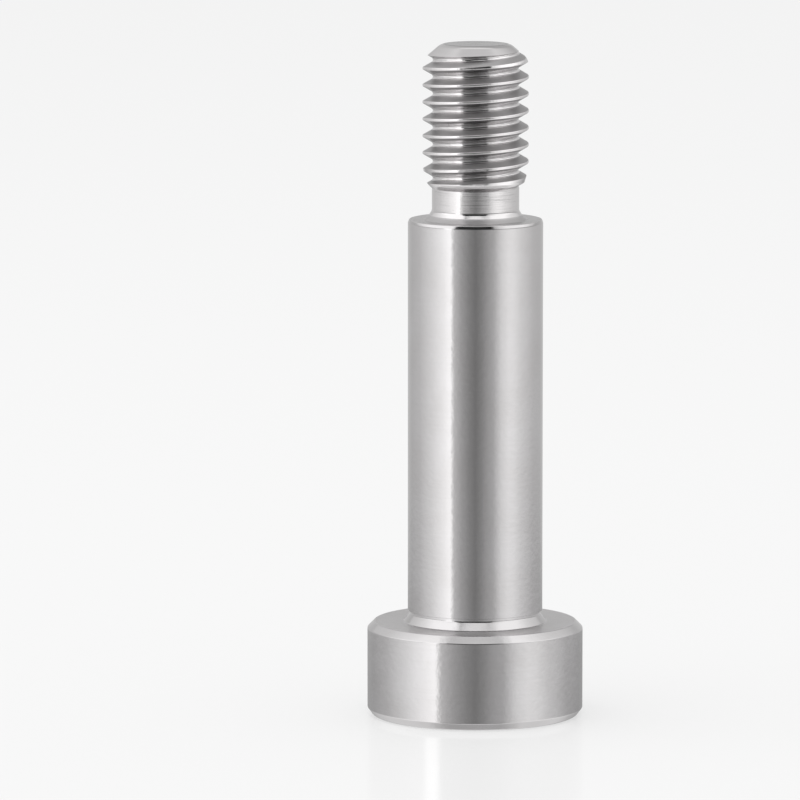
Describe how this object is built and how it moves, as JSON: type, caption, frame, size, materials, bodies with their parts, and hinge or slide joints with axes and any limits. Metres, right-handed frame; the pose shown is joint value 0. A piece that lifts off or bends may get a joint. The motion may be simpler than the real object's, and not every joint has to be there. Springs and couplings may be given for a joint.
{
  "type": "shoulder bolt",
  "caption": "Socket-head shoulder bolt: cylindrical head with a hexagon socket, a ground shoulder with a relief at its foot, a neck and a right-hand threaded end.",
  "frame": {"origin": "centre of the head's flat socket end, which is the face the bolt stands on", "axes": "+Z along the bolt's axis, from the head towards the threaded tip"},
  "size_m": [0.016, 0.016, 0.05],
  "materials": {
    "stainless_steel": "turned and ground, satin"
  },
  "bodies": {
    "root": {"shoulder_bolt": "stainless_steel"}
  },
  "joints": []
}
